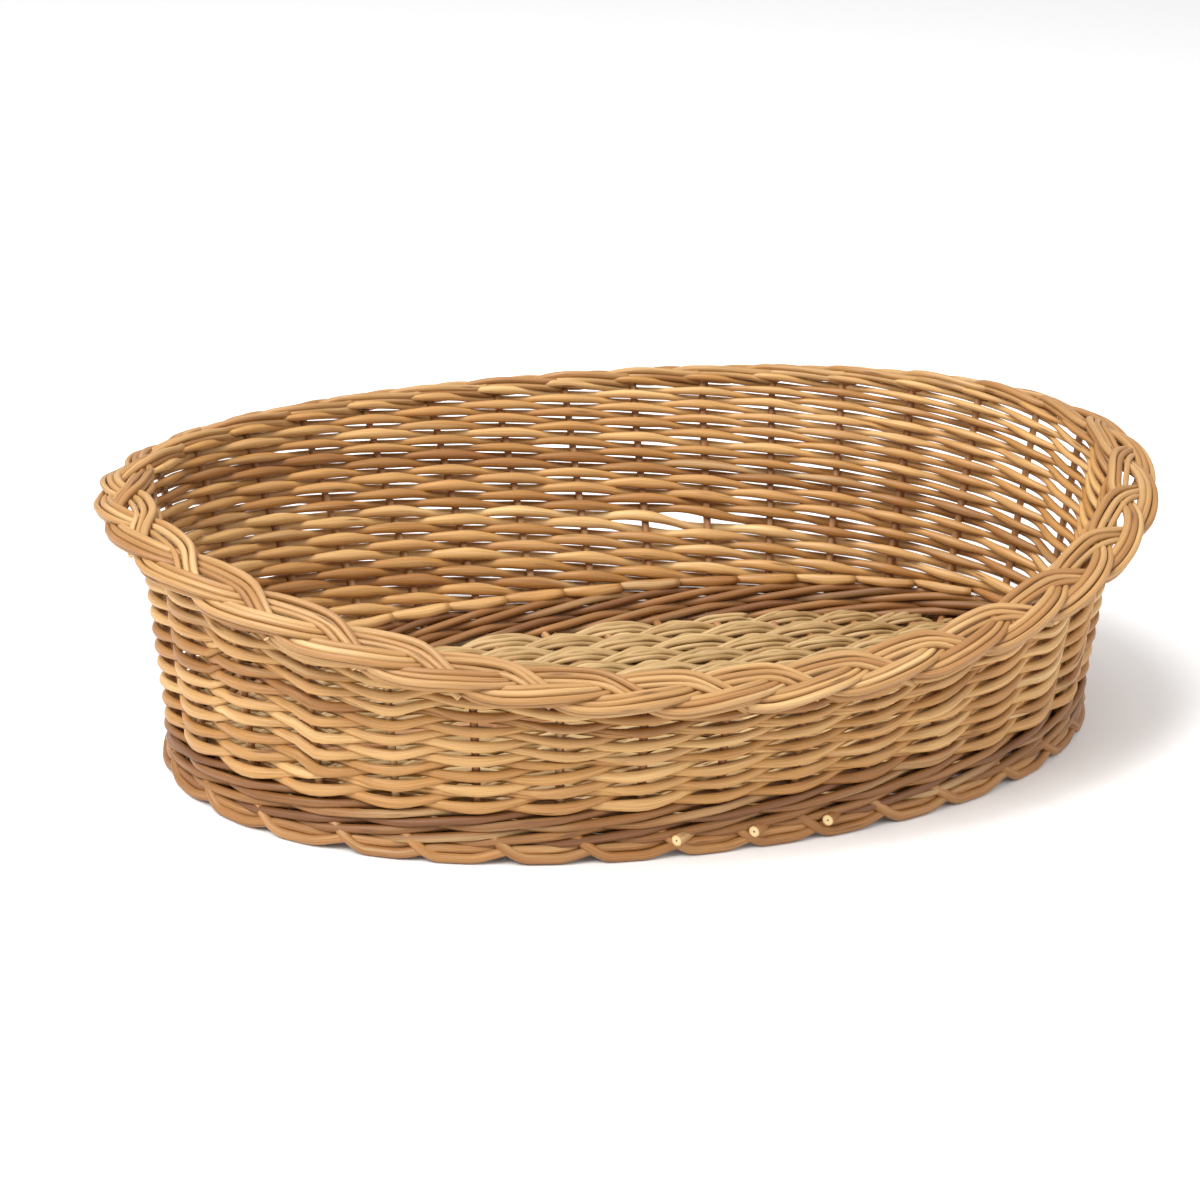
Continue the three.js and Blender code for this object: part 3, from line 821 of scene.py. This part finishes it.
BUNDLE = 5  # rods side by side that weave as one
BUNDLE_PITCH = 0.0128
FIRST_BUNDLE = 0.006  # from the long sticks
FLOOR_ROD_RADIUS = 0.0021
FLOOR_STEP = 0.004  # between a rod's points
FLOOR_WAVE = 0.0048
FLOOR_SAG = 0.0004
FLOOR_FRONT_GAP, FLOOR_BACK_GAP = 0.019, 0.013  # from the foot's outer edge to the last rods
FLOOR_END_GAP = 0.002
FLOOR_CLEARANCE = 0.001
FLOOR_SPACING = 2.06  # in radii, where the rods lie widest
NARROW, WIDE = 0.42, 0.6  # how closely they pass under a stick, and how much wider over one
ABOVE, BELOW = 0.0017, -0.0013  # every other rod slips over its neighbours between the sticks
CROSS_STICK_RADIUS = 0.003
LONG_STICK_RADIUS = 0.0028
STICK_END = 0.004
CROSS_POINTS, LONG_POINTS = 40, 60

edge_places = np.linspace(0, 1, 1200)
edge_in = BASE.outward(edge_places) * (WALL_THICKNESS / 2 + FLOOR_CLEARANCE)
FLOOR_EDGE = BASE.at(edge_places) - edge_in


def floor_limits(y):
    """How far along X the floor reaches at y, inside the wall."""
    right = FLOOR_EDGE[FLOOR_EDGE[:, 0] > 0]
    order = np.argsort(right[:, 1])
    return float(np.interp(y, right[order, 1], right[order, 0]))


def floor_depth(x, side):
    """How far from the middle the floor reaches at x: to the back where side is 1, or the front."""
    half = FLOOR_EDGE[FLOOR_EDGE[:, 1] * side > 0]
    order = np.argsort(half[:, 0])
    return np.interp(x, half[order, 0], np.abs(half[order, 1]))


def stick_ends(node):
    """The middles of a cross stick's two ends."""
    corners = np.array([v.co for v in node.data.vertices])
    back = corners[corners[:, 1] > corners[:, 1].max() - STICK_END].mean(0)
    front = corners[corners[:, 1] < corners[:, 1].min() + STICK_END].mean(0)
    return back, front


def stick_x(y):
    """Where the cross sticks are at y."""
    found = []
    for name in CROSS_NODES:
        back, front = stick_ends(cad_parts[name])
        found.append(back[0] + (front[0] - back[0]) * (y - back[1]) / (front[1] - back[1]))
    return np.sort(found)


def sticks():
    rods = Rods()
    for name in CROSS_NODES:
        back, front = stick_ends(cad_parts[name])
        points = back + (front - back) * np.linspace(0, 1, CROSS_POINTS)[:, None]
        points[:, 2] = FLOOR_MIDDLE
        rods.add(points, CROSS_STICK_RADIUS * rng.uniform(0.95, 1.05))
    rods.build("cross_stick_rods", STAKE, CROSS_NODES, "stake_willow")
    rods = Rods()
    for name in LONG_NODES:
        low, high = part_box(name)
        flat = np.full((LONG_POINTS, 2), (low.y + high.y) / 2)
        flat[:, 0] = np.linspace(low.x, high.x, LONG_POINTS)
        rods.add(at_height(flat, FLOOR_MIDDLE), LONG_STICK_RADIUS)
    rods.build("long_stick_rods", STAKE, LONG_NODES, "stake_willow")


def floor_bundle(rods, middle, turn):
    """Rods that arch over one stick side by side and close up to pass under the next."""
    crossings = stick_x(middle)
    step = np.diff(crossings).mean()
    side = 1 if middle > 0 else -1
    for rod in range(BUNDLE):
        slot = rod - (BUNDLE - 1) / 2
        y = middle + slot * 2 * FLOOR_ROD_RADIUS
        limit = max(floor_limits(y), floor_limits(middle) * 0.9) - FLOOR_END_GAP
        if limit < 3 * step / 2:  # it wouldn't reach past the sticks that hold it
            continue
        n = int(limit * 2 / FLOOR_STEP)
        x = np.linspace(-limit, limit, n)
        places = np.interp(x, crossings, np.arange(len(crossings)))
        places += np.where(x < crossings[0], (x - crossings[0]) / step, 0)
        places += np.where(x > crossings[-1], (x - crossings[-1]) / step, 0)
        wave = np.cos(math.pi * (places + turn))
        spread = NARROW + WIDE * wave**2
        stack = (1 - wave**2) * (ABOVE if rod % 2 else BELOW)
        s = x + limit
        line = middle + slot * FLOOR_SPACING * FLOOR_ROD_RADIUS * spread + wander(s, 0.0005)
        line = side * np.minimum(side * line, floor_depth(x, side) - FLOOR_ROD_RADIUS)
        z = FLOOR_MIDDLE + FLOOR_WAVE * wave + stack + wander(s, 0.0002) - FLOOR_SAG * slot**2 * wave
        radius = FLOOR_ROD_RADIUS * rng.uniform(0.92, 1.1) * taper(n)
        rods.add(np.stack([x, line, z], -1), radius)


def floor_weave():
    rods = Rods()
    first, last = sorted((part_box(LONG_NODES[0])[0].y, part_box(LONG_NODES[-1])[1].y))
    front, back = foot_low.y + FLOOR_FRONT_GAP, foot_high.y - FLOOR_BACK_GAP
    for edge, limit, way in ((first, front, -1), (last, back, 1)):
        room = abs(limit - edge) - FIRST_BUNDLE
        count = round(room / BUNDLE_PITCH)
        for n in range(count):
            away = FIRST_BUNDLE + (n + 0.3) * room / count
            floor_bundle(rods, edge + way * away, n + (way > 0))
    rods.build("floor_rods", FLOOR, ["floor_weave"], "floor_willow")


# ---------------------------------------------------------------- camera and light

CAMERA_PLACE = (-0.654, -1.667, 0.765)
CAMERA_TURNS = (20.67, 20.94, 1.45)  # degrees: to the right of +Y, down, and rolled
FOCAL_LENGTH, SENSOR_WIDTH = 88.4, 36  # in millimetres
STUDIO_HALF = 12
STUDIO_COLOUR = (0.92, 0.92, 0.92, 1)
WORLD_STRENGTH = 0.75


def camera():
    yaw, down, roll = (math.radians(a) for a in CAMERA_TURNS)
    flat = Vector((math.sin(yaw), math.cos(yaw), 0)) * math.cos(down)
    forward = flat - Vector((0, 0, math.sin(down)))
    level_right = Vector((math.cos(yaw), -math.sin(yaw), 0))
    level_up = level_right.cross(forward)
    right = math.cos(roll) * level_right + math.sin(roll) * level_up
    up = -math.sin(roll) * level_right + math.cos(roll) * level_up
    data = bpy.data.cameras.new("camera")
    data.lens = FOCAL_LENGTH
    data.sensor_width = SENSOR_WIDTH
    made = bpy.data.objects.new("camera", data)
    made.matrix_world = Matrix((right, up, -forward)).transposed().to_4x4()
    made.location = CAMERA_PLACE
    bpy.context.scene.collection.objects.link(made)
    bpy.context.scene.camera = made


def area_light(name, place, size, power):
    """A round lamp that shines at the basket."""
    data = bpy.data.lights.new(name, "AREA")
    data.shape = "DISK"
    data.size = size
    data.energy = power
    made = bpy.data.objects.new(name, data)
    made.location = place
    made.rotation_euler = (-Vector(place)).to_track_quat("-Z", "Y").to_euler()
    bpy.context.scene.collection.objects.link(made)


def studio_floor():
    mesh = bpy.data.meshes.new("floor")
    corners = [(x * STUDIO_HALF, y * STUDIO_HALF, 0) for x, y in ((-1, -1), (1, -1), (1, 1), (-1, 1))]
    mesh.from_pydata(corners, [], [(0, 1, 2, 3)])
    floor = bpy.data.objects.new("floor", mesh)
    bpy.context.scene.collection.objects.link(floor)
    material = bpy.data.materials.new("pale_floor")
    material.use_nodes = True
    shader = material.node_tree.nodes["Principled BSDF"]
    shader.inputs["Base Color"].default_value = STUDIO_COLOUR
    shader.inputs["Roughness"].default_value = 0.9
    mesh.materials.append(material)


def studio():
    studio_floor()
    world = bpy.data.worlds.new("studio")
    world.use_nodes = True
    background = world.node_tree.nodes["Background"]
    background.inputs["Color"].default_value = (1.0, 1.0, 1.0, 1)
    background.inputs["Strength"].default_value = WORLD_STRENGTH
    bpy.context.scene.world = world
    area_light("key", (-2.3, -0.9, 2.6), size=2.2, power=112)
    area_light("fill", (1.8, -2.0, 1.6), size=1.6, power=20)
    area_light("top", (-0.6, -0.1, 2.8), size=1.2, power=44)
    bpy.context.scene.view_settings.view_transform = "Standard"


camera()
studio()
for k in range(STAKES):
    side_rod(k)
for i in range(WALE_RODS):
    wale_rod(i)
for k in range(STAKES):
    stake(k)
for strand in range(PLAIT_STRANDS):
    plait_strand(strand)
foot_border()
sticks()
floor_weave()
